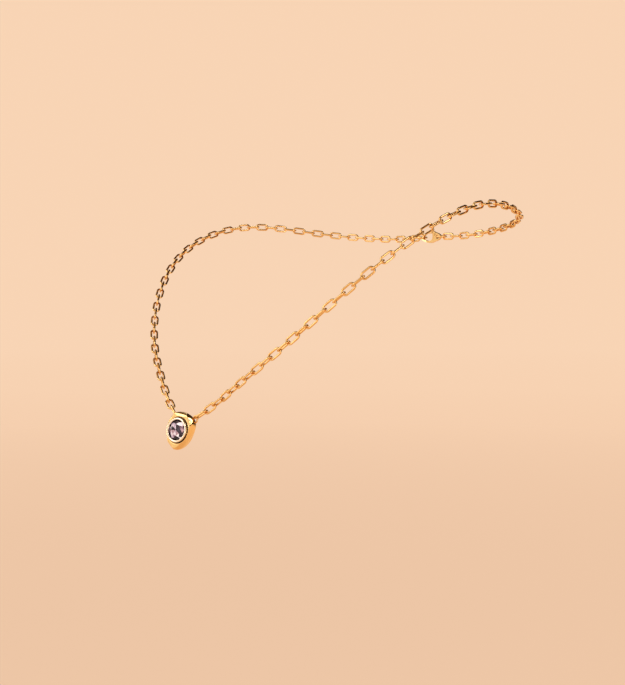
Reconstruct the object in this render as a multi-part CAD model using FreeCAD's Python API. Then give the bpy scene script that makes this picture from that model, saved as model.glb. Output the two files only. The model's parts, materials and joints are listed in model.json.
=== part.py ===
"""Pendant necklace with a pebble-shaped bezel pendant on a fine oval cable chain, draped as it is worn.

Frame: millimetres, +Z up, the wearer's front faces -Y, +X is the wearer's left.
The origin is the centre of the flat back face of the pendant.
Each link pair is the left and the right link at the same distance from the pendant.
"""

import FreeCAD, Part
import math
import os

os.makedirs("parts", exist_ok=True)

V = FreeCAD.Vector

# chain
WIRE = 0.75
LINK_WIDTH = 3.05
PLAY = 0.12
PITCH = 4.25
LINK_LENGTH = PITCH + 2 * WIRE + PLAY
LAST_LEVEL = 53
NAPE_LEVELS = 6

# pendant
PENDANT_TURN = 17.0
PENDANT_TILT = 10.0
PENDANT_ROLL = 4.5
LOOP_CONTACT = V(5.05, 0.8, 5.55)
LOOP_TURNS = {1: 0.0, -1: 28.0}
FIRST_LINK_ROLLS = {1: 7.0, -1: 12.0}
LOOP_LENGTH = 3.1
LOOP_WIDTH = 2.25
LOOP_WIRE = 0.55
BODY_HEIGHTS = (0.0, 0.55, 1.9, 3.2, 3.9, 4.15)
BODY_SCALES = (0.85, 0.92, 0.985, 1.0, 0.98, 0.93)
BODY_OUTLINE = ((0.0, 6.75), (3.3, 5.95), (5.1, 3.8), (5.25, 0.2), (4.3, -3.6), (1.6, -6.7))
BODY_LEAN = 6.5
RIM_OUTER = 4.45
RIM_INNER = 3.68
RIM_BASE = 2.4
RIM_TOP = 4.95
SEAT_RADIUS = 3.86

# gemstone
GIRDLE_RADIUS = 3.78
GIRDLE_HEIGHT = 4.05
TABLE_RADIUS = 2.15
CROWN = 0.95
PAVILION = 2.75

# clasp
CLASP_THICKNESS = 1.9
CLASP_WALL = 1.0
CLASP_PLAY = 0.3
TAIL_RING_RADIUS = 1.8
END_RING_RADIUS = 2.05
RING_WIRE = 0.85
RIVET_AT = (2.15, 1.05)
RIVET_RADIUS = 0.38

# drape of the chain beyond the pendant: outwards from the middle, back and up, for each side
DRAPES = {
    1: ((8.7, 3.8, 7.8), (24.5, 8.3, 19.0), (36.6, 13.8, 29.0), (57.0, 29.8, 51.2), (70.6, 52.2, 70.9),
        (71.6, 81.5, 81.2), (61.5, 109.2, 79.0), (33.8, 123.9, 75.5), (5.0, 123.8, 75.0)),
    -1: ((8.7, -0.2, 8.4), (23.3, 4.3, 19.1), (36.1, 9.7, 29.0), (57.2, 25.1, 51.2), (71.8, 48.9, 70.9),
         (73.4, 82.5, 81.4), (58.5, 106.9, 79.0), (30.0, 120.6, 75.5), (5.0, 123.5, 75.0)),
}


def unit(v):
    return v * (1.0 / v.Length)


def across(v, axis):
    """The part of v at right angles to axis, as a unit vector."""
    return unit(v - axis * v.dot(axis))


def rolled(v, axis, degrees):
    """The vector v, at right angles to axis, turned about it."""
    angle = math.radians(degrees)
    return v * math.cos(angle) + axis.cross(v) * math.sin(angle)


def placed(shape, at, x_axis, y_axis, z_axis):
    """The shape moved so that its own x, y and z axes lie along the given ones and its origin at the given point."""
    matrix = FreeCAD.Matrix(
        x_axis.x, y_axis.x, z_axis.x, at.x,
        x_axis.y, y_axis.y, z_axis.y, at.y,
        x_axis.z, y_axis.z, z_axis.z, at.z,
        0, 0, 0, 1,
    )
    moved = shape.copy()
    moved.Placement = FreeCAD.Placement(matrix).multiply(shape.Placement)
    return moved


def save(name, solids):
    """Writes one sub-part, made of one or more separate solids."""
    shape = solids[0] if len(solids) == 1 else Part.makeCompound(solids)
    shape.exportStep("parts/" + name + ".step")


def ring_solid(radius, wire):
    """A closed round-wire ring around z."""
    return Part.makeTorus(radius, wire / 2)


def oval_ring(length, width, thickness):
    """A closed ring of round wire with straight sides and round ends, long along x and wide along y."""
    bow = (width - thickness) / 2
    side = (length - width) / 2
    wire = thickness / 2
    right = Part.makeTorus(bow, wire, V(0, 0, 0), V(0, 0, 1), -180, 180, 180)
    right.rotate(V(0, 0, 0), V(0, 0, 1), -90)
    right.translate(V(side, 0, 0))
    left = right.copy()
    left.rotate(V(0, 0, 0), V(0, 0, 1), 180)
    upper = Part.makeCylinder(wire, 2 * side, V(-side, bow, 0), V(1, 0, 0))
    lower = Part.makeCylinder(wire, 2 * side, V(-side, -bow, 0), V(1, 0, 0))
    return right.fuse([left, upper, lower]).removeSplitter().Solids[0]


# pendant axes: turned towards the wearer's left, face tilted up, hanging a little lower at the wearer's left
turn = math.radians(PENDANT_TURN)
tilt = math.radians(PENDANT_TILT)
roll = math.radians(PENDANT_ROLL)
level_across = V(math.cos(turn), math.sin(turn), 0)
P_OUT = V(math.sin(turn) * math.cos(tilt), -math.cos(turn) * math.cos(tilt), math.sin(tilt))
P_ACROSS = level_across * math.cos(roll) + level_across.cross(P_OUT) * math.sin(roll)
P_UP = P_OUT.cross(P_ACROSS)


def on_pendant(shape):
    """Takes a shape drawn with x across, y up and z out of the face to the pendant's place."""
    return placed(shape, V(0, 0, 0), P_ACROSS, P_UP, P_OUT)


def pendant_point(side, x, out, up):
    return P_ACROSS * (side * x) + P_OUT * out + P_UP * up


# chain path, from the pendant loop up over the collar bones and round to the nape
def strand_points(side):
    """Middle of every contact between two links, from the pendant loop to the nape, one pitch apart."""
    start = pendant_point(side, LOOP_CONTACT.x, LOOP_CONTACT.y, LOOP_CONTACT.z)
    curve = Part.BSplineCurve()
    curve.interpolate([start] + [V(side * x, y, z) for x, y, z in DRAPES[side]])
    points = [start]
    low = curve.FirstParameter
    step = (curve.LastParameter - low) / 40
    for level in range(LAST_LEVEL + 1):
        near, far = low, low + step
        for halving in range(40):
            middle = (near + far) / 2
            if (curve.value(middle) - points[-1]).Length < PITCH:
                near = middle
            else:
                far = middle
        low = near
        points.append(curve.value(near))
    return points


def wide_direction(side, level, along):
    """Direction across the link, turned a quarter turn from one link to the next; the first crosses the pendant loop."""
    if level == 0:
        return rolled(across(P_OUT, along), along, LOOP_TURNS[side] + FIRST_LINK_ROLLS[side])
    front = 1 - min(1.0, max(0.0, (level - 22) / 14.0))
    upright = V(0, 0.1 * front, 1)
    if side < 0:
        upright = V(0.55 * front, 0.75 * front, 0.1 - 0.025 * level)
    upright = across(upright, along)
    return upright if level % 2 else along.cross(upright)


LINK = oval_ring(LINK_LENGTH, LINK_WIDTH, WIRE)
STRANDS = {side: strand_points(side) for side in (1, -1)}


def chain_link(side, level):
    start, end = STRANDS[side][level], STRANDS[side][level + 1]
    along = unit(end - start)
    wide = wide_direction(side, level, along)
    return placed(LINK, (start + end) * 0.5, along, wide, along.cross(wide))


def link_pair(level):
    return [chain_link(1, level), chain_link(-1, level)]


first_nape = LAST_LEVEL + 1 - NAPE_LEVELS
for level in range(first_nape):
    save("link_pair_%02d" % (level + 1), link_pair(level))
nape = []
for level in range(first_nape, LAST_LEVEL + 1):
    nape += link_pair(level)
save("nape_links", nape)


# pendant body: a soft pebble with a flat back, widest at the loops, blunt point at the bottom
def body_section(height, scale):
    half = list(BODY_OUTLINE)
    mirrored = [(-x, y) for x, y in reversed(half[1:])]
    points = [V(x * scale, y * scale, height) for x, y in half + mirrored]
    curve = Part.BSplineCurve()
    curve.interpolate(points, True)
    wire = Part.Wire([curve.toShape()])
    wire.rotate(V(0, 0, 0), V(0, 0, 1), -BODY_LEAN)
    return wire


def revolved(profile):
    """A solid of revolution around z from (radius, height) corners."""
    corners = [V(r, 0, z) for r, z in profile]
    face = Part.Face(Part.makePolygon(corners + [corners[0]]))
    return face.revolve(V(0, 0, 0), V(0, 0, 1), 360)


pebble = Part.makeLoft([body_section(h, s) for h, s in zip(BODY_HEIGHTS, BODY_SCALES)], True, False)
well = revolved([
    (0, 0.9),
    (0.9, 0.9),
    (SEAT_RADIUS - 0.25, RIM_BASE),
    (RIM_OUTER, RIM_BASE),
    (RIM_OUTER, 6.0),
    (0, 6.0),
])
groove = Part.makeTorus(RIM_OUTER + 0.12, 0.3, V(0, 0, 4.2))
body = pebble.cut(well).cut(groove)

# polished rim: a raised band whose inside step carries the girdle of the stone
rim = revolved([
    (SEAT_RADIUS - 0.25, RIM_BASE),
    (RIM_OUTER, RIM_BASE),
    (RIM_OUTER, RIM_TOP - 0.3),
    (RIM_OUTER - 0.18, RIM_TOP - 0.06),
    (RIM_OUTER - 0.36, RIM_TOP),
    (RIM_INNER + 0.14, RIM_TOP - 0.08),
    (RIM_INNER, GIRDLE_HEIGHT + 0.42),
    (SEAT_RADIUS, GIRDLE_HEIGHT + 0.2),
    (SEAT_RADIUS, GIRDLE_HEIGHT - 0.06),
])


# gemstone: round cut with an eight-sided table, sixteen girdle facets and a pointed pavilion
def polygon(sides, radius, height):
    angles = [2 * math.pi * (i + 0.5 * (sides == 16)) / sides for i in range(sides + 1)]
    return Part.makePolygon([V(radius * math.cos(a), radius * math.sin(a), height) for a in angles])


def double_cone(sides, table, girdle, culet):
    """Crown and pavilion with the given number of sides."""
    crown = Part.makeLoft(
        [polygon(sides, girdle, 0), polygon(sides, table, CROWN)], True, True
    )
    pavilion = Part.makeLoft(
        [polygon(sides, culet, -PAVILION), polygon(sides, girdle, 0)], True, True
    )
    return crown.fuse(pavilion)


mains = double_cone(8, TABLE_RADIUS, GIRDLE_RADIUS * 1.13, 0.12)
girdle_facets = double_cone(16, TABLE_RADIUS * 1.18, GIRDLE_RADIUS * 1.02, 0.5)
girdle = Part.makeCylinder(GIRDLE_RADIUS, PAVILION + CROWN, V(0, 0, -PAVILION))
gem = mains.common(girdle_facets).common(girdle)
gem.translate(V(0, 0, GIRDLE_HEIGHT))

save("pendant_body", [on_pendant(body.Solids[0])])
save("bezel_rim", [on_pendant(rim)])
save("gemstone", [on_pendant(gem.Solids[0])])


# upright oval loops half sunk in the shoulders, one on each side, in line with the start of the chain
def loop_axes(side):
    """Middle of the round end that the first link hangs in, and the outward, long and facing directions of the loop."""
    contact, following = STRANDS[side][0], STRANDS[side][1]
    outward = unit(following - contact)
    facing = rolled(across(P_OUT, outward), outward, LOOP_TURNS[side])
    reach = (LOOP_WIDTH - LOOP_WIRE) / 2 - (LOOP_WIRE + WIRE) / 4 - PLAY / 2
    return contact - outward * reach, outward, across(P_UP, facing), facing


def pendant_loop(side):
    bend, outward, long, facing = loop_axes(side)
    middle = bend - long * ((LOOP_LENGTH - LOOP_WIDTH) / 2)
    wide = facing.cross(long)
    ring = placed(oval_ring(LOOP_LENGTH, LOOP_WIDTH, LOOP_WIRE), middle, long, wide, facing)
    inward = wide if wide.dot(P_ACROSS) * side < 0 else wide * -1
    foot = Part.makeCylinder(0.3, 1.2, middle + inward * (LOOP_WIDTH / 2 - LOOP_WIRE), inward)
    return max(ring.fuse(foot).cut(on_pendant(body)).Solids, key=lambda piece: piece.Volume)


save("pendant_loops", [pendant_loop(1), pendant_loop(-1)])

# clasp at the nape: x towards the tail, z up, y through its thickness
RIGHT_END, LEFT_END = STRANDS[1][-1], STRANDS[-1][-1]
C_ALONG = unit(RIGHT_END - LEFT_END)
C_UP = across(V(0, 0, 1), C_ALONG)
C_THROUGH = C_UP.cross(C_ALONG)
RING_CLEAR = (RING_WIRE + WIRE) / 2 + PLAY
CLASP_CLEAR = (RING_WIRE + CLASP_WALL) / 2 + CLASP_PLAY
TAIL_REACH = 2 * TAIL_RING_RADIUS - (RING_CLEAR + CLASP_CLEAR) / 2
END_REACH = 2 * END_RING_RADIUS - (RING_CLEAR + CLASP_CLEAR) / 2
TAIL_CONTACT = RIGHT_END - C_ALONG * TAIL_REACH
HOOK_CONTACT = LEFT_END + C_ALONG * END_REACH
C_MIDDLE = (TAIL_CONTACT + HOOK_CONTACT) * 0.5
HALF = (TAIL_CONTACT - HOOK_CONTACT).Length / 2


def at_nape(shape):
    return placed(shape, C_MIDDLE, C_ALONG, C_THROUGH, C_UP)


def plate(points, thickness):
    """A plate with a smooth closed outline in x and z, of the given thickness in y."""
    curve = Part.BSplineCurve()
    curve.interpolate([V(x, -thickness / 2, z) for x, z in points], True)
    return Part.Face(Part.Wire([curve.toShape()])).extrude(V(0, thickness, 0))


def block(x0, x1, thickness, z0, z1):
    return Part.makeBox(x1 - x0, thickness, z1 - z0, V(x0, -thickness / 2, z0))


def eye(x, radius):
    return Part.makeCylinder(radius, 4, V(x, -2, 0), V(0, 1, 0))


nose = -HALF - CLASP_CLEAR / 2 - CLASP_WALL / 2
tail = HALF + CLASP_CLEAR / 2 + CLASP_WALL / 2
outline = plate(
    [(nose, 0), (-2.6, 2.2), (0, 2.75), (2.4, 2.0), (tail - 0.9, 1.15), (tail, 0), (tail - 0.9, -1.15), (2.2, -1.9),
     (0, -2.5), (-2.6, -2.1)],
    CLASP_THICKNESS,
)
window = plate(
    [(nose + CLASP_WALL, 0), (-2.8, 1.4), (-0.6, 1.75), (0.85, 1.3), (1.05, 0), (0.6, -1.1), (-0.6, -1.5), (-2.8, -1.2)], 4
)
tail_hole = eye(tail - CLASP_WALL - 0.75, 0.75)
gate = block(-2.65, 3.0, 4, 1.0, 4.0).cut(block(1.0, 4.0, CLASP_THICKNESS + 0.2, -1.0, 4.0))
slot = block(0.4, 2.95, 1.0, -0.5, 4.0)
rivet_hole = Part.makeCylinder(RIVET_RADIUS, 4, V(RIVET_AT[0], -2, RIVET_AT[1]), V(0, 1, 0))
spindle = [(nose - 0.1, 0.5), (-2.5, 0.85), (0, 0.95), (3.0, 0.8), (tail + 0.1, 0.45)]
edge = [V(x, y, -4) for x, y in spindle] + [V(x, -y, -4) for x, y in reversed(spindle)]
belly = Part.Face(Part.makePolygon(edge + [edge[0]])).extrude(V(0, 0, 8))
clasp = outline.common(belly).cut(window).cut(tail_hole).cut(gate).cut(slot).cut(rivet_hole)

# lever: closes the mouth of the hook and turns inwards on the rivet, with a thumb knob on top
arm = plate([(-2.55, 1.9), (-1.9, 2.5), (0, 2.72), (0.6, 2.5), (0.7, 1.6), (0.2, 1.55), (-0.6, 1.7), (-1.9, 1.55)], 1.7)
heel = plate([(0.2, 2.5), (1.1, 2.55), (2.0, 2.2), (2.75, 1.35), (2.5, 0.5), (1.8, 0.35), (1.2, 0.9), (0.3, 1.7)], 0.86)
knob = Part.makeCylinder(0.5, 1.3, V(0.4, -0.65, 3.0), V(0, 1, 0))
lever = arm.fuse([heel, knob])
lever = lever.cut(Part.makeCylinder(RIVET_RADIUS + 0.04, 4, V(RIVET_AT[0], -2, RIVET_AT[1]), V(0, 1, 0)))

rivet = Part.makeCylinder(RIVET_RADIUS, CLASP_THICKNESS, V(RIVET_AT[0], -CLASP_THICKNESS / 2, RIVET_AT[1]), V(0, 1, 0))

# coil spring lying in the slot under the heel of the lever
helix = Part.makeHelix(0.24, 1.2, 0.24)
coil_wire = Part.Wire(Part.makeCircle(0.08, V(0.24, 0, 0), V(0, 1, 0)))
coil = Part.Wire(helix.Edges).makePipeShell([coil_wire], True, True)
coil.rotate(V(0, 0, 0), V(0, 1, 0), 90)
coil.translate(V(1.25, 0, -0.1))

save("clasp_body", [at_nape(clasp.Solids[0])])
save("clasp_lever", [at_nape(lever.Solids[0])])
save("clasp_rivet", [at_nape(rivet)])
save("clasp_spring", [at_nape(coil.Solids[0])])

# rings: the jump ring on the clasp's tail and the larger ring that the hook catches
tail_ring = ring_solid(TAIL_RING_RADIUS, RING_WIRE)
end_ring = ring_solid(END_RING_RADIUS, RING_WIRE)
tail_middle = RIGHT_END - C_ALONG * (TAIL_RING_RADIUS - RING_CLEAR / 2)
end_middle = LEFT_END + C_ALONG * (END_RING_RADIUS - RING_CLEAR / 2)
save("clasp_ring", [placed(tail_ring, tail_middle, C_ALONG, C_THROUGH, C_UP)])
save("end_ring", [placed(end_ring, end_middle, C_ALONG, C_THROUGH, C_UP)])
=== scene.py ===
"""Looks of the pendant necklace: gold chain and clasp, and a pebble pendant with a bezel-set lilac stone."""

import bmesh
import bpy
import json
import math
from mathutils import Matrix, Vector


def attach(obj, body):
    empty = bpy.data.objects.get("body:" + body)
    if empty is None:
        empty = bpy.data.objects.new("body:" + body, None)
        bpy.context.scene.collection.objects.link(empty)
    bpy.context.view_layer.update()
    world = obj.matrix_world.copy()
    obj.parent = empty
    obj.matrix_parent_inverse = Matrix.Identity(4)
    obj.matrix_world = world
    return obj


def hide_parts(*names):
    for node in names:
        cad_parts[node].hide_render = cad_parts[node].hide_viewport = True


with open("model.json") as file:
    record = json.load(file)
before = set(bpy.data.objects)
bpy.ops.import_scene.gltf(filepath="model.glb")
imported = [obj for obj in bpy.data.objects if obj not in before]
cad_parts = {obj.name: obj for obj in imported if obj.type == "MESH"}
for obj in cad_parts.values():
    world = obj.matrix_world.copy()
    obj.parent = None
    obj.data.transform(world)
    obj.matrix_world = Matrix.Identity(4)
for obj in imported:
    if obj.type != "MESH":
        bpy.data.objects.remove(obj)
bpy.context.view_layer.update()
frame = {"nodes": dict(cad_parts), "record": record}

MM = 0.001
SEGMENTS = 240


# ---------- materials ----------
def new_material(name):
    material = bpy.data.materials.new(name)
    material.use_nodes = True
    tree = material.node_tree
    tree.nodes.clear()
    output = tree.nodes.new("ShaderNodeOutputMaterial")
    return material, tree, output


def add(tree, kind, **values):
    """A node with its inputs set by name; a value that is a socket is linked."""
    node = tree.nodes.new(kind)
    for key, value in values.items():
        name = key.replace("_", " ")
        if isinstance(value, bpy.types.NodeSocket):
            tree.links.new(value, node.inputs[name])
        else:
            node.inputs[name].default_value = value
    return node


def ramp(tree, source, stops):
    """Colour ramp over the source, with stops of place and colour in rising order."""
    node = tree.nodes.new("ShaderNodeValToRGB")
    tree.links.new(source, node.inputs["Fac"])
    elements = node.color_ramp.elements
    for element, (place, colour) in ((elements[0], stops[0]), (elements[1], stops[-1])):
        element.position = place
        element.color = (*colour, 1)
    for place, colour in stops[1:-1]:
        elements.new(place).color = (*colour, 1)
    return node.outputs["Color"]


def blended(tree, share, first, second):
    """Mix of two shaders; share is a number or a socket, 0 for the first and 1 for the second."""
    mix = add(tree, "ShaderNodeMixShader", Fac=share)
    tree.links.new(first, mix.inputs[1])
    tree.links.new(second, mix.inputs[2])
    return mix.outputs["Shader"]


def metal(name, dark, light, rough_low, rough_high, grain, scratch_strength):
    """Polished metal: slow tone changes from dark to light, uneven roughness and hairline polishing marks."""
    material, tree, output = new_material(name)
    place = tree.nodes.new("ShaderNodeTexCoord").outputs["Object"]
    cloud = add(tree, "ShaderNodeTexNoise", Vector=place, Scale=grain, Detail=5.0, Roughness=0.6)
    tone = ramp(tree, cloud.outputs["Fac"], [(0.3, dark), (0.7, light)])
    stretch = add(tree, "ShaderNodeMapping", Vector=place)
    stretch.inputs["Scale"].default_value = (1.0, 14.0, 3.0)
    stretch.inputs["Rotation"].default_value = (0.4, 0.3, 0.9)
    hair = add(tree, "ShaderNodeTexNoise", Vector=stretch.outputs["Vector"], Scale=grain * 6, Detail=3.0,
               Roughness=0.7)
    rough = add(tree, "ShaderNodeMapRange", Value=hair.outputs["Fac"], To_Min=rough_low, To_Max=rough_high)
    dents = add(tree, "ShaderNodeTexNoise", Vector=place, Scale=grain * 2.2, Detail=2.0)
    wave = add(tree, "ShaderNodeBump", Height=dents.outputs["Fac"], Strength=0.25, Distance=0.05 * MM)
    marks = add(tree, "ShaderNodeBump", Height=hair.outputs["Fac"], Strength=scratch_strength,
                Distance=0.01 * MM, Normal=wave.outputs["Normal"])
    surface = add(tree, "ShaderNodeBsdfPrincipled", Base_Color=tone, Metallic=1.0,
                  Roughness=rough.outputs["Result"], Normal=marks.outputs["Normal"])
    tree.links.new(surface.outputs["BSDF"], output.inputs["Surface"])
    return material


def crystal(name, deep, pale, painted_glow):
    """Polished crystal facet: the light it returns painted as clouded colour patches that glow, under a clear
    glassy surface.
    """
    material, tree, output = new_material(name)
    place = tree.nodes.new("ShaderNodeTexCoord").outputs["Object"]
    cloud = add(tree, "ShaderNodeTexNoise", Vector=place, Scale=900.0, Detail=4.0, Roughness=0.6)
    tint = ramp(tree, cloud.outputs["Fac"], [(0.38, deep), (0.62, pale)])
    # painted glow: the facet gives off its own light to stand in for the flash of the stone
    inner = add(tree, "ShaderNodeBsdfPrincipled", Base_Color=tint, Roughness=0.04, IOR=1.3,
                Emission_Color=tint, Emission_Strength=painted_glow)
    glass = add(tree, "ShaderNodeBsdfGlass", Color=(0.96, 0.88, 0.96, 1), Roughness=0.0, IOR=1.76)
    mix = blended(tree, 0.15, inner.outputs["BSDF"], glass.outputs["BSDF"])
    tree.links.new(mix, output.inputs["Surface"])
    return material


GOLD = metal("yellow_gold", (0.80, 0.45, 0.15), (0.99, 0.67, 0.31), 0.07, 0.16, 260.0, 0.25)
# the rim's polished gold, its colour paled towards white all round as a painted highlight
RIM_GOLD_PAINTED_HIGHLIGHT = metal("mirror_gold_painted_highlight", (0.98, 0.80, 0.60), (1.0, 0.92, 0.78), 0.04, 0.10, 240.0, 0.12)
BODY_GOLD = metal("pebble_gold", (0.93, 0.57, 0.22), (1.0, 0.71, 0.33), 0.12, 0.24, 160.0, 0.3)
STEEL = metal("spring_wire", (0.42, 0.42, 0.43), (0.62, 0.62, 0.64), 0.2, 0.35, 400.0, 0.3)
# near-black metal that paints the shade of the groove, the rim's inner wall and the seat under the stone
PAINTED_SHADE_METAL = metal("painted_shade_recess", (0.03, 0.022, 0.02), (0.10, 0.07, 0.05), 0.3, 0.5, 300.0, 0.3)
# painted light of the stone's facets: near-black for the dark ones, and rose, lilac and white flashes that
# glow
PAINTED_FACET_LIGHTS = {
    "d": crystal("stone_painted_dark", (0.003, 0.002, 0.003), (0.03, 0.015, 0.022), 0.0),
    "p": crystal("stone_painted_rose_flash", (0.14, 0.06, 0.10), (0.85, 0.58, 0.66), 0.15),
    "l": crystal("stone_painted_lilac_flash", (0.45, 0.33, 0.48), (0.98, 0.90, 0.97), 0.3),
    "w": crystal("stone_painted_white_spark", (0.90, 0.80, 0.88), (1.0, 0.96, 0.98), 0.5),
}


# ---------- small mesh helpers ----------
def mesh_object(name, vertices, faces, material, smooth=True):
    mesh = bpy.data.meshes.new(name)
    mesh.from_pydata([tuple(v) for v in vertices], [], faces)
    mesh.validate()
    mesh.polygons.foreach_set("use_smooth", [smooth] * len(mesh.polygons))
    edit = bmesh.new()
    edit.from_mesh(mesh)
    bmesh.ops.recalc_face_normals(edit, faces=edit.faces)
    edit.to_mesh(mesh)
    edit.free()
    made = bpy.data.objects.new(name, mesh)
    bpy.context.scene.collection.objects.link(made)
    mesh.materials.append(material)
    return made


def grid_faces(rows, columns, closed_rows=False):
    """Quads of a grid whose columns run round a closed loop."""
    faces = []
    for r in range(rows if closed_rows else rows - 1):
        for c in range(columns):
            n, m = (r + 1) % rows, (c + 1) % columns
            faces.append((r * columns + c, r * columns + m, n * columns + m, n * columns + c))
    return faces


def catmull_rom(a, b, c, d, f):
    """Value between b and c at the fraction f, with a before and d after them."""
    return 0.5 * (2 * b + (c - a) * f + (2 * a - 5 * b + 4 * c - d) * f * f + (3 * b - a - 3 * c + d) * f ** 3)


def spline(points, samples):
    """Closed smooth curve through the given points."""
    made = []
    count = len(points)
    for i in range(samples):
        t = i * count / samples
        k, f = int(t), t - int(t)
        made.append(catmull_rom(*(Vector(points[(k + j - 1) % count]) for j in range(4)), f))
    return made


# ---------- pendant ----------
mounts = {m["name"]: m for m in frame["record"]["mounts"]}
P_OUT = -Vector(mounts["pendant_back"]["axis"])
PENDANT_ROLL = math.radians(4.5)
P_ACROSS = Matrix.Rotation(-PENDANT_ROLL, 4, P_OUT) @ Vector((0, 0, 1)).cross(P_OUT).normalized()
P_UP = P_OUT.cross(P_ACROSS)


def on_pendant(p):
    """From pendant millimetres (across, up, out of the face) to the row frame."""
    return (P_ACROSS * p[0] + P_UP * p[1] + P_OUT * p[2]) * MM


# outline of the pebble from its top down one side, in millimetres across and up; the other side mirrors it
BODY_OUTLINE = ((0.0, 6.75), (3.3, 5.95), (5.1, 3.8), (5.25, 0.2), (4.3, -3.6), (1.6, -6.7))
BODY_LEAN = math.radians(6.5)
BACK_SCALES = (0.02, 0.3, 0.6, 0.8)
SIDE_STEPS = 9
# height above the flat back, and scale of the outline there
SIDE_ROWS = ((0.0, 0.85), (0.55, 0.92), (1.9, 0.985), (3.2, 1.0), (3.9, 0.98), (4.15, 0.93))
# flat spots of the pebble: direction that each faces, and depth cut off
FACETS = (
    ((0.75, 0.38, 0.55), 0.50), ((0.95, -0.12, 0.18), 0.30), ((0.52, -0.62, 0.58), 0.55),
    ((0.12, -0.86, 0.42), 0.35), ((-0.48, -0.70, 0.52), 0.45), ((-0.84, -0.12, 0.50), 0.40),
    ((-0.72, 0.45, 0.50), 0.45), ((0.05, 0.84, 0.52), 0.50), ((0.55, 0.78, 0.20), 0.30),
    ((-0.52, 0.80, -0.10), 0.30), ((0.80, -0.35, -0.45), 0.35), ((-0.82, -0.30, -0.45), 0.35),
)
FULL_FACET_HEIGHT = 1.6  # above this height the flat spots are cut to their full depth
EDGE_SOFTNESS = 0.008
RIM_OUTER, RIM_INNER, RIM_BASE, RIM_TOP = 4.45, 3.68, 2.4, 4.95
STONE_TURN = math.radians(11)
# radii of the stone, and heights from its girdle
GIRDLE_HEIGHT = 4.05
TABLE_RADIUS, TABLE_RISE = 2.1, 0.92
STAR_RADIUS, STAR_RISE = 2.86, 0.62
GIRDLE_RADIUS, GIRDLE_RISE, GIRDLE_DROP = 3.74, 0.05, 0.08
HALF_RADIUS, HALF_DROP = 0.78, 2.25
TIP_DROP = 2.72
# painted light of the facets, counter-clockwise from the wearer's left: d painted dark, p painted rose flash,
# l painted lilac flash, w painted white spark
TABLE_PAINTED_FLASH = "ddldplpd"
STAR_PAINTED_FLASH = "pwldlpwd"
KITE_PAINTED_FLASH = "pwdlpldd"
HALF_PAINTED_FLASH = "pddlddwd"
# groove round the rim: distance out from the rim and height; the first points are gold, the rest carry painted
# shade
GROOVE = (
    (0.62, 4.2), (0.45, 4.16), (0.40, 4.02), (0.27, 3.93),
    (0.12, 3.9), (0.02, 3.95), (0.0, 3.6), (0.0, RIM_BASE),
)
GROOVE_GOLD_POINTS = 2
# bottom of the seat under the stone, in painted shade: radius and height
SEAT = ((3.6, RIM_BASE - 0.02), (2.2, 1.6), (0.9, 0.9), (0.02, 0.9))


def soft_facets(rows):
    """Pushes the points behind the flat spots, with soft edges, less and less towards the pebble's back."""
    planes = []
    for direction, depth in FACETS:
        n = Vector(direction).normalized()
        planes.append((n, max(p.dot(n) for row in rows for p in row) - depth))
    for row in rows:
        for p in row:
            share = min(1.0, p.z / FULL_FACET_HEIGHT)
            for n, reach in planes:
                over = p.dot(n) - reach
                p -= n * (0.5 * share * (over + math.sqrt(over * over + EDGE_SOFTNESS)))


def side_curve(rows, steps):
    """Height and scale along the side, rounded between the given rows."""
    made = []
    for i in range(len(rows) - 1):
        p0, p1 = rows[max(i - 1, 0)], rows[i]
        p2, p3 = rows[i + 1], rows[min(i + 2, len(rows) - 1)]
        for s in range(steps):
            f = s / steps
            made.append(tuple(catmull_rom(*four, f) for four in zip(p0, p1, p2, p3)))
    made.append(rows[-1])
    return made


def paint_shade_on_rows(made, first):
    """Gives the rows from the first one on the near-black material that paints shade into the seat."""
    made.data.materials.append(PAINTED_SHADE_METAL)
    for face in made.data.polygons:
        if min(face.vertices) >= first * SEGMENTS:
            face.material_index = 1


def pendant_body():
    """Pebble with a flat back, a groove round the rim and a seat under the stone, the groove's depth and the
    seat in painted shade.
    """
    mirrored = [(-x, y) for x, y in reversed(BODY_OUTLINE[1:])]
    lean = Matrix.Rotation(-BODY_LEAN, 4, "Z")
    outline = [lean @ p for p in spline([(x, y, 0) for x, y in list(BODY_OUTLINE) + mirrored], SEGMENTS)]
    rows = [[(p.x * s, p.y * s, 0.0) for p in outline] for s in BACK_SCALES]
    sides = [[Vector((p.x * s, p.y * s, h)) for p in outline] for h, s in side_curve(SIDE_ROWS, SIDE_STEPS)]
    soft_facets(sides)
    rows += sides
    rim_edge = [Vector((p.x, p.y, 0)).normalized() for p in outline]
    brow = rows[-1]
    groove_out, groove_height = GROOVE[0]
    for f in (0.25, 0.5, 0.75):
        rows.append([b * (1 - f) + (e * (RIM_OUTER + groove_out) + Vector((0, 0, groove_height))) * f
                     for b, e in zip(brow, rim_edge)])
    # the groove's depth from here on gets painted shade
    shade_from = len(rows) + GROOVE_GOLD_POINTS
    for out, height in GROOVE:
        rows.append([e * (RIM_OUTER + out) + Vector((0, 0, height)) for e in rim_edge])
    for radius, height in SEAT:
        rows.append([e * radius + Vector((0, 0, height)) for e in rim_edge])
    points = [on_pendant(p) for row in rows for p in row]
    faces = grid_faces(len(rows), SEGMENTS)
    faces.append(tuple(reversed(range(SEGMENTS))))
    faces.append(tuple(range(len(points) - SEGMENTS, len(points))))
    made = mesh_object("pendant_pebble", points, faces, BODY_GOLD)
    paint_shade_on_rows(made, shade_from)
    return made


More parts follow.
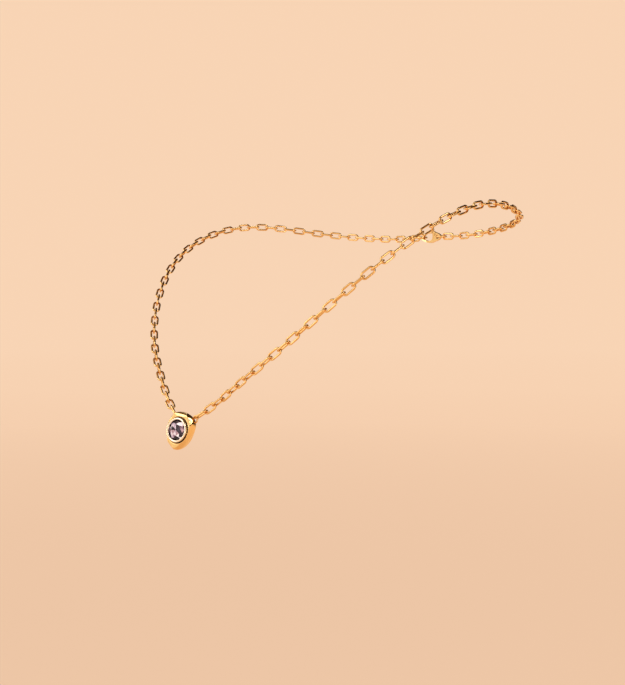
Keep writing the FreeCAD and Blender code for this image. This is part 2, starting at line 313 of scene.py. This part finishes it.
def pendant_rim():
    """Raised band with a rounded top, thinned inwards over the girdle of the stone, its inner wall in painted
    shade.
    """
    profile = [(RIM_OUTER, RIM_BASE), (RIM_OUTER, 3.6), (RIM_OUTER, RIM_TOP - 0.42)]
    middle, half = (RIM_OUTER + RIM_INNER) / 2, (RIM_OUTER - RIM_INNER) / 2
    crown, steps = 0.36, 14
    for i in range(1, steps):
        a = math.pi * i / steps
        profile.append((middle + half * math.cos(a), RIM_TOP - crown + crown * math.sin(a) ** 0.8))
    # the rim's inner wall from here on gets painted shade
    shade_from = len(profile)
    profile += [(RIM_INNER, 4.5), (RIM_INNER + 0.02, 4.36), (3.8, 4.25), (3.86, 3.98), (3.61, RIM_BASE)]
    points = []
    for radius, height in profile:
        for i in range(SEGMENTS):
            a = 2 * math.pi * i / SEGMENTS
            points.append(on_pendant((radius * math.cos(a), radius * math.sin(a), height)))
    made = mesh_object("bezel_band", points, grid_faces(len(profile), SEGMENTS, True), RIM_GOLD_PAINTED_HIGHLIGHT)
    paint_shade_on_rows(made, shade_from)
    return made


def ring_points(count, radius, height, turn=0.0):
    angles = [2 * math.pi * (i + turn) / count for i in range(count)]
    return [(radius * math.cos(a), radius * math.sin(a), height) for a in angles]


def brilliant():
    """Round brilliant: table, stars, kites and upper halves above the girdle, mains and lower halves below."""
    points = ring_points(8, TABLE_RADIUS, GIRDLE_HEIGHT + TABLE_RISE)
    points += ring_points(8, STAR_RADIUS, GIRDLE_HEIGHT + STAR_RISE, 0.5)
    points += ring_points(16, GIRDLE_RADIUS, GIRDLE_HEIGHT + GIRDLE_RISE)
    points += ring_points(16, GIRDLE_RADIUS, GIRDLE_HEIGHT - GIRDLE_DROP)
    points += ring_points(8, HALF_RADIUS, GIRDLE_HEIGHT - HALF_DROP, 0.5)
    points += [(0, 0, GIRDLE_HEIGHT - TIP_DROP), (0, 0, GIRDLE_HEIGHT + TABLE_RISE)]
    table, star, top, bottom, half, tip, middle = 0, 8, 16, 32, 48, 56, 57
    # each facet is given painted light: dark, or a rose, lilac or white flash
    facets = []  # each facet's shade and its points
    for k in range(8):
        n, p = (k + 1) % 8, (k - 1) % 8
        g0, g1, g2 = 2 * k, 2 * k + 1, (2 * k + 2) % 16
        facets.append((TABLE_PAINTED_FLASH[k], (table + k, table + n, middle)))
        facets.append((STAR_PAINTED_FLASH[k], (table + k, star + k, table + n)))
        facets.append((KITE_PAINTED_FLASH[k], (table + k, star + p, top + g0, star + k)))
        facets.append(("d", (star + k, top + g0, top + g1)))
        facets.append((HALF_PAINTED_FLASH[k], (star + k, top + g1, top + g2)))
        facets.append(("p", (bottom + g0, half + k, bottom + g1)))
        facets.append(("d", (bottom + g1, half + k, bottom + g2)))
        facets.append(("l", (bottom + g0, half + p, tip, half + k)))
    for g in range(16):
        facets.append(("d", (top + g, bottom + g, bottom + (g + 1) % 16, top + (g + 1) % 16)))
    turned = Matrix.Rotation(STONE_TURN, 4, "Z")
    placed = [on_pendant(turned @ Vector(p)) for p in points]
    made = mesh_object("faceted_stone", placed, [f for _, f in facets], PAINTED_FACET_LIGHTS["d"], smooth=False)
    for shade in "plw":
        made.data.materials.append(PAINTED_FACET_LIGHTS[shade])
    for face, (shade, _) in zip(made.data.polygons, facets):
        face.material_index = "dplw".index(shade)
    return made


for piece, node, finish in (
    (pendant_body(), "pendant_body", "gold"),
    (pendant_rim(), "bezel_rim", "polished_gold"),
    (brilliant(), "gemstone", "gem"),
):
    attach(piece, "pendant")
    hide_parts(node)


# ---------- cast clasp parts ----------
CAST_VOXEL = 0.06
CAST_PASSES = 4
SHELL_CLEARANCE = 0.10  # the end ring rolls past the clasp shell's hook without touching


def softened(node, name, body, slim):
    """Copy of a CAD part with cast, rounded edges, made thinner by slim so that it clears its neighbours."""
    source = frame["nodes"][node]
    made = bpy.data.objects.new(name, source.data.copy())
    bpy.context.scene.collection.objects.link(made)
    made.data.materials.clear()
    remesh = made.modifiers.new("melt", "REMESH")
    remesh.mode = "VOXEL"
    remesh.voxel_size = CAST_VOXEL * MM
    remesh.use_smooth_shade = True
    smooth = made.modifiers.new("round", "SMOOTH")
    smooth.iterations = CAST_PASSES
    smooth.factor = 0.5
    slimmed = made.modifiers.new("slimmed", "DISPLACE")
    slimmed.mid_level = 0.0
    slimmed.strength = -slim * MM
    bpy.context.view_layer.update()
    shaped = bpy.data.meshes.new_from_object(made.evaluated_get(bpy.context.evaluated_depsgraph_get()))
    made.modifiers.clear()
    made.data = shaped
    shaped.name = name
    shaped.materials.append(GOLD)
    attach(made, body)
    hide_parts(node)


softened("clasp_body", "clasp_shell", "clasp", SHELL_CLEARANCE)
softened("clasp_lever", "clasp_thumb_lever", "lever", 0.0)

# ---------- chain, rings and spring keep their CAD shapes ----------
for node, piece in frame["nodes"].items():
    if piece.hide_render:
        continue
    finish = STEEL if node == "clasp_spring" else GOLD
    piece.data.materials.clear()
    piece.data.materials.append(finish)

# ---------- stage, in metres ----------
PEACH = (0.94, 0.66, 0.46)
NEAR_FLOOR = (0.75, 0.50, 0.34)
NEAR_HAZE = (0.90, 0.605, 0.41)
MIDDLE_HAZE = (0.93, 0.645, 0.445)
FLOOR_DROP = 0.075
FLOOR_SIZE = 12.0
# the glow takes over from the lit floor between the first distances, and changes colour between the second
HAZE_FROM, HAZE_TO, HAZE_LEAST = 0.10, 0.9, 0.88
TONE_FROM, TONE_TO = 0.25, 4.0


def floor():
    """Wide pale floor that fades into the backdrop with distance."""
    half = FLOOR_SIZE / 2
    corners = [(x * half, y * half, -FLOOR_DROP) for x, y in ((-1, -1), (1, -1), (1, 1), (-1, 1))]
    material, tree, output = new_material("pale_floor")
    where = tree.nodes.new("ShaderNodeNewGeometry").outputs["Position"]
    far = tree.nodes.new("ShaderNodeVectorMath")
    far.operation = "LENGTH"
    tree.links.new(where, far.inputs[0])
    distance = far.outputs["Value"]
    fade = add(tree, "ShaderNodeMapRange", Value=distance, From_Min=HAZE_FROM, From_Max=HAZE_TO,
               To_Min=HAZE_LEAST)
    depth = add(tree, "ShaderNodeMapRange", Value=distance, From_Min=TONE_FROM, From_Max=TONE_TO)
    tone = ramp(tree, depth.outputs["Result"], [(0.0, NEAR_HAZE), (0.35, MIDDLE_HAZE), (1.0, PEACH)])
    near = add(tree, "ShaderNodeBsdfDiffuse", Color=(*NEAR_FLOOR, 1))
    haze = add(tree, "ShaderNodeEmission", Color=tone, Strength=1.0)
    mix = blended(tree, fade.outputs["Result"], near.outputs["BSDF"], haze.outputs["Emission"])
    tree.links.new(mix, output.inputs["Surface"])
    made = mesh_object("floor", corners, [(0, 1, 2, 3)], material)
    made.visible_glossy = False


floor()

world = bpy.data.worlds.new("studio")
bpy.context.scene.world = world
world.use_nodes = True
tree = world.node_tree
tree.nodes.clear()
sky = tree.nodes.new("ShaderNodeOutputWorld")
seen = add(tree, "ShaderNodeBackground", Color=(*PEACH, 1), Strength=1.0)
ray = tree.nodes.new("ShaderNodeTexCoord").outputs["Generated"]


def towards(direction):
    """0 for rays going away from the direction, 1 for rays along it."""
    facing = tree.nodes.new("ShaderNodeVectorMath")
    facing.operation = "DOT_PRODUCT"
    tree.links.new(ray, facing.inputs[0])
    facing.inputs[1].default_value = Vector(direction).normalized()
    return add(tree, "ShaderNodeMapRange", Value=facing.outputs["Value"], From_Min=-1.0).outputs["Result"]


# what the metal mirrors: a bright room in front of the wearer, darkness behind, and the floor below
front = ramp(tree, towards((-0.20, -0.97, 0.10)), [
    (0.0, (0.030, 0.020, 0.014)), (0.38, (0.045, 0.028, 0.018)), (0.60, (0.22, 0.14, 0.08)),
    (0.76, (0.62, 0.48, 0.33)), (0.90, (1.0, 0.87, 0.70)), (1.0, (1.0, 0.92, 0.80))])
below = ramp(tree, towards((0.0, 0.0, -1.0)), [
    (0.0, (0.0, 0.0, 0.0)), (0.50, (0.0, 0.0, 0.0)), (0.60, (1.0, 0.68, 0.42)), (1.0, (0.85, 0.56, 0.35))])
room = tree.nodes.new("ShaderNodeMix")
room.data_type = "RGBA"
room.blend_type = "LIGHTEN"
room.inputs[0].default_value = 1.0
tree.links.new(front, room.inputs[6])
tree.links.new(below, room.inputs[7])
lit = add(tree, "ShaderNodeBackground", Color=room.outputs[2], Strength=1.0)
to_camera = tree.nodes.new("ShaderNodeLightPath").outputs["Is Camera Ray"]
backdrop = blended(tree, to_camera, lit.outputs["Background"], seen.outputs["Background"])
tree.links.new(backdrop, sky.inputs["Surface"])


def softbox(name, at, aim, size, power, colour=(1, 1, 1)):
    light = bpy.data.lights.new(name, "AREA")
    light.shape = "RECTANGLE"
    light.size, light.size_y = size
    light.energy = power
    light.color = colour
    made = bpy.data.objects.new(name, light)
    bpy.context.scene.collection.objects.link(made)
    made.location = at
    made.rotation_mode = "QUATERNION"
    made.rotation_quaternion = (Vector(aim) - Vector(at)).to_track_quat("-Z", "Y")


LOOK = (0, 0.04, 0.035)  # middle of the necklace
softbox("key", (-0.25, -0.60, 0.45), LOOK, (0.40, 0.40), 1.1)
softbox("high_right", (0.50, 0.20, 0.53), LOOK, (0.20, 0.22), 0.9)
softbox("high_left", (-0.42, 0.29, 0.47), LOOK, (0.14, 0.14), 0.10, (1.0, 0.94, 0.84))
softbox("right_strip", (0.60, -0.14, 0.10), LOOK, (0.10, 0.45), 0.65)
softbox("left_strip", (-0.55, -0.30, 0.10), LOOK, (0.10, 0.45), 0.45)

# ---------- camera ----------
camera = bpy.data.objects.new("camera", bpy.data.cameras.new("camera"))
bpy.context.scene.collection.objects.link(camera)
bpy.context.scene.camera = camera
camera.data.lens = 63.0
camera.data.sensor_width = 36.0
camera.data.clip_start, camera.data.clip_end = 0.01, 50.0
CAMERA_AT = Vector((0.3636, -0.2343, 0.0406))
azimuth, pitch = math.radians(51.11), math.radians(1.16)  # from the wearer's front to their left, and down
back = Vector((math.sin(azimuth) * math.cos(pitch), -math.cos(azimuth) * math.cos(pitch), math.sin(pitch)))
right = Vector((math.cos(azimuth), math.sin(azimuth), 0))
up = back.cross(right)
turned = Matrix((right, up, back)).transposed().to_4x4()
camera.matrix_world = Matrix.Translation(CAMERA_AT) @ turned

bpy.context.scene.view_settings.view_transform = "Standard"
